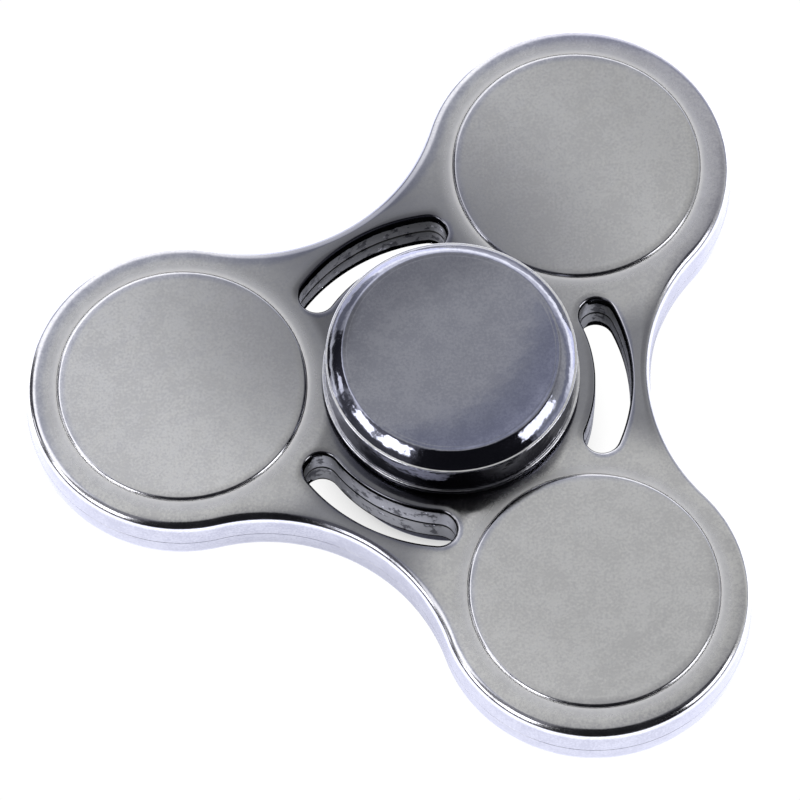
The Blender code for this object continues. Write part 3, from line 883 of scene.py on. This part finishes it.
def plated(name, light, dark, roughness, peel, cloud_scale, dress=None, pits=0.0, wobble=0.0):
    """Plated or bare metal: cloudy tone, fine grain, pits, and an orange-peel surface.

    dress paints what depends on the place, much of it painted light and shade, and gives the colour,
    roughness and tint at grazing angles.
    wobble adds uneven casting under the plating, on the sides of a turned piece but not in its dish.
    """
    material = bpy.data.materials.new(name)
    material.use_nodes = True
    nodes = Nodes(material.node_tree)
    place = nodes.new("ShaderNodeTexCoord").outputs["Object"]
    clouds = nodes.noise(place, cloud_scale, 4.0, 0.6)
    fine = nodes.noise(place, cloud_scale * 9, 3.0, 0.6)
    tone = nodes.math("ADD", nodes.multiply(clouds, 0.45), nodes.multiply(fine, 0.55))
    colour = nodes.mix(nodes.span(tone, 0.4, 0.6), dark, light)
    grain = nodes.noise(place, 5200.0, 2.0, 0.6)
    rough = nodes.span(nodes.multiply(clouds, grain), 0.1, 0.45, roughness * 0.8, roughness * 1.25)
    edge_tint = WHITE
    if dress:
        colour, rough, edge_tint = dress(nodes, place, colour, rough)
    waves = nodes.noise(place, 420.0, 2.0)
    height = nodes.math("ADD", nodes.multiply(waves, 0.8), nodes.multiply(grain, 0.06))
    if wobble:
        side = nodes.span(nodes.flat_distance(place, (0.0, 0.0)), RIM_INNER, RIM_OUTER)
        uneven = nodes.noise(place, 330.0, 3.0, 0.55)
        height = nodes.math("ADD", height, nodes.multiply(uneven, side, wobble))
    if pits:
        spots = specks(nodes, place, 0.5 * MM, pits)
        colour = nodes.mix(spots, colour, (0.10, 0.10, 0.11))
        height = nodes.math("SUBTRACT", height, nodes.multiply(spots, 0.3))
    bump = nodes.new("ShaderNodeBump", {"Height": height, "Strength": peel, "Distance": 0.1 * MM})
    values = {"Base Color": colour, "Metallic": 1.0, "Roughness": rough, "Specular Tint": edge_tint}
    shader = nodes.new("ShaderNodeBsdfPrincipled", {**values, "Normal": bump.outputs["Normal"]})
    nodes.new("ShaderNodeOutputMaterial", {"Surface": shader.outputs[0]})
    return material


# ------------------------------------------------------------------ stage

# The light tent's tones by elevation. They lean: each comes lower on the +X side and higher on the -X side.
TENT_LEAN = 55.0
TENT_RIPPLE = 14.0
TENT_TONES = (
    (0, (1.00, 1.00, 1.06)),
    (25, (0.98, 0.98, 1.04)),
    (38, (0.80, 0.80, 0.86)),
    (49, (0.42, 0.43, 0.50)),
    (54, (0.27, 0.28, 0.34)),
    (60, (0.30, 0.31, 0.35)),
    (63, (0.45, 0.45, 0.45)),
    (69, (0.45, 0.45, 0.44)),
    (75, (0.32, 0.32, 0.32)),
    (90, (0.24, 0.24, 0.25)),
)
FAR_FLOOR = (1.60, 1.60, 1.62)  # just below the horizon, past the card
# Places in the tent: azimuth from, to and softness of the ends, the same for elevation, and the tone.
# A later place covers the ones before it.
DARK_PLACES = (
    ((-156.0, -128.0, 4.0), (-14.0, 9.0, 4.0), (0.36, 0.37, 0.44)),  # low, behind and to the left
    ((-130.0, -92.0, 4.0), (-5.0, 40.0, 4.0), (0.04, 0.04, 0.05)),  # left
    ((56.0, 100.0, 4.0), (40.0, 84.0, 3.0), (0.05, 0.05, 0.06)),  # high on the right
    ((-80.0, -24.0, 4.0), (28.0, 80.0, 5.0), (0.14, 0.14, 0.16)),  # high, to the photographer's left
    ((-92.0, -24.0, 3.0), (-9.0, 30.0, 5.0), (0.07, 0.07, 0.08)),  # low, to the photographer's left
    ((-28.0, 60.0, 4.0), (-9.0, 86.0, 3.0), (0.008, 0.008, 0.010)),  # the photographer
)
BRIGHT_PANES = (
    ((-104.0, -90.0, 1.5), (8.0, 18.0, 1.5), (1.2, 1.2, 1.272)),
    ((-80.0, -60.0, 1.5), (12.0, 32.0, 1.5), (2.6, 2.6, 2.756)),
    ((-55.0, -34.0, 1.5), (14.0, 40.0, 1.5), (2.8, 2.8, 2.968)),
    ((52.0, 84.0, 1.5), (12.0, 36.0, 1.5), (2.2, 2.2, 2.332)),
)


def make_world():
    """A light tent: white all round low down, grey overhead, dark where the photographer stands.

    Azimuth runs from the photographer's side, -Y, towards +X. Elevation runs up from the horizon. Both are in
    degrees. The camera sees white past the card, or pale grey high up, where only a view from below looks.
    """
    world = bpy.data.worlds.new("light_tent")
    bpy.context.scene.world = world
    world.use_nodes = True
    nodes = Nodes(world.node_tree)
    direction = nodes.new("ShaderNodeTexCoord").outputs["Generated"]
    x, y, z = nodes.parts(direction)
    ripple = nodes.multiply(nodes.math("SUBTRACT", nodes.noise(direction, 9.0, 2.0), 0.5), TENT_RIPPLE)
    azimuth = nodes.multiply(nodes.math("ARCTAN2", x, nodes.multiply(y, -1.0)), 180.0 / math.pi)
    azimuth = nodes.math("ADD", azimuth, ripple)
    elevation = nodes.multiply(nodes.math("ARCSINE", z), 180.0 / math.pi)
    slanted = nodes.math("ADD", elevation, nodes.multiply(x, TENT_LEAN))
    stops = [(degrees / 90, tone) for degrees, tone in TENT_TONES]
    tent = nodes.ramp(nodes.math("DIVIDE", slanted, 90.0), stops)
    far_floor = nodes.multiply(nodes.span(elevation, -6.0, -2.0, 1.0, 0.0), nodes.span(y, -0.1, 0.3))
    colour = nodes.mix(far_floor, tent, FAR_FLOOR)
    for azimuths, elevations, tone in (*DARK_PLACES, *BRIGHT_PANES):
        share = nodes.multiply(nodes.window(azimuth, *azimuths), nodes.window(elevation, *elevations))
        colour = nodes.mix(share, colour, tone)
    tent_light = nodes.new("ShaderNodeBackground", {"Color": colour, "Strength": TENT_STRENGTH})
    pale = nodes.span(z, 0.0, 0.4, 1.05, 0.42)
    backdrop = nodes.new("ShaderNodeBackground", {"Color": WHITE, "Strength": pale})
    seen = nodes.new("ShaderNodeLightPath").outputs["Is Camera Ray"]
    both = nodes.new("ShaderNodeMixShader", {0: seen, 1: tent_light.outputs[0], 2: backdrop.outputs[0]})
    nodes.new("ShaderNodeOutputWorld", {"Surface": both.outputs[0]})


def make_floor():
    """A white card that glows, with shade painted from ambient occlusion under what it carries. Overexposed
    as it is, it looks white all over.

    Seen from below it is clear.
    """
    material = bpy.data.materials.new("white_card")
    material.use_nodes = True
    nodes = Nodes(material.node_tree)
    white = {"Color": WHITE}
    near = nodes.new("ShaderNodeAmbientOcclusion", {**white, "Distance": 5 * MM}, samples=8).outputs["AO"]
    around = nodes.new("ShaderNodeAmbientOcclusion", {**white, "Distance": 30 * MM}, samples=8).outputs["AO"]
    seen = nodes.new("ShaderNodeEmission", {**white, "Strength": nodes.span(near, 0.0, 1.0, 0.45, 1.02)})
    # what reflections see: a bluer glow with deeper painted shade
    shaded = nodes.span(around, 0.08, 0.8, 0.1, 1.5)
    mirrored = nodes.new("ShaderNodeEmission", {"Color": (1.0, 1.02, 1.24, 1.0), "Strength": shaded})
    camera_ray = nodes.new("ShaderNodeLightPath").outputs["Is Camera Ray"]
    glow = nodes.new("ShaderNodeMixShader", {0: camera_ray, 1: mirrored.outputs[0], 2: seen.outputs[0]})
    clear = nodes.new("ShaderNodeBsdfTransparent")
    behind = nodes.new("ShaderNodeNewGeometry").outputs["Backfacing"]
    surface = nodes.new("ShaderNodeMixShader", {0: behind, 1: glow.outputs[0], 2: clear.outputs[0]})
    nodes.new("ShaderNodeOutputMaterial", {"Surface": surface.outputs[0]})
    bm = bmesh.new()
    rim = circle_outline(Vector((0.0, 0.0)), CARD_RADIUS)
    bm.faces.new([bm.verts.new((x, y, cad_bounds[0].z)) for x, y, _ in rim])
    mesh = bpy.data.meshes.new("floor")
    bm.to_mesh(mesh)
    bm.free()
    mesh.materials.append(material)
    floor = bpy.data.objects.new("floor", mesh)
    bpy.context.scene.collection.objects.link(floor)


def make_camera():
    data = bpy.data.cameras.new("camera")
    camera = bpy.data.objects.new("camera", data)
    bpy.context.scene.collection.objects.link(camera)
    data.sensor_width = 36.0
    data.lens = CAMERA_LENS
    flat = math.cos(CAMERA_ELEVATION)
    back_x, back_y = math.sin(CAMERA_AZIMUTH) * flat, -math.cos(CAMERA_AZIMUTH) * flat
    back = Vector((back_x, back_y, math.sin(CAMERA_ELEVATION)))
    target = Vector((*CAMERA_AIM, BODY_TOP))
    camera.location = target + back * CAMERA_DISTANCE
    camera.rotation_mode = "QUATERNION"
    camera.rotation_quaternion = (-back).to_track_quat("-Z", "Y")
    bpy.context.scene.camera = camera


def build():
    bpy.context.scene.view_settings.view_transform = "Standard"
    make_world()
    make_floor()
    make_camera()
    finishes = {
        # light tone, dark tone, roughness, depth of the peel, scale of the clouds
        "body_plating": ((0.84, 0.84, 0.84), (0.70, 0.70, 0.72), 0.16, 0.25, 500.0),
        "cover_plating": ((0.85, 0.85, 0.85), (0.72, 0.72, 0.735), 0.19, 0.25, 450.0),
        "cap_plating": ((0.41, 0.42, 0.49), (0.34, 0.35, 0.42), 0.09, 0.2, 450.0),
        "weight_steel_turned": ((0.50, 0.50, 0.52), (0.42, 0.42, 0.43), 0.35, 0.3, 700.0),
        "race_steel_ground": ((0.64, 0.64, 0.66), (0.58, 0.58, 0.60), 0.22, 0.2, 700.0),
        "ball_steel_polished": ((0.74, 0.74, 0.76), (0.70, 0.70, 0.72), 0.05, 0.02, 700.0),
        "sheet_steel_pressed": ((0.58, 0.58, 0.59), (0.50, 0.50, 0.51), 0.32, 0.3, 700.0),
    }
    extras = {
        "body_plating": {"dress": dress_body, "pits": 0.012},
        "cover_plating": {"dress": dress_cover},
        "cap_plating": {"dress": dress_cap, "wobble": 5.0},
    }
    finished = [plated(name, *values, **extras.get(name, {})) for name, values in finishes.items()]
    body, cover, cap, weight, race, ball, sheet = finished
    for side in ("upper", "lower"):
        make_shell(side, body)
        for index in range(1, LOBES + 1):
            make_cover_disc(f"cover_disc_{side}_{index}", cover)
        make_shield(f"bearing_shield_{side}", sheet)
        make_cage(f"bearing_cage_{side}", sheet)
    for index in range(1, LOBES + 1):
        make_weight(f"lobe_weight_{index}", weight)
    make_races(race)
    make_balls(ball)
    make_caps(cap)


build()
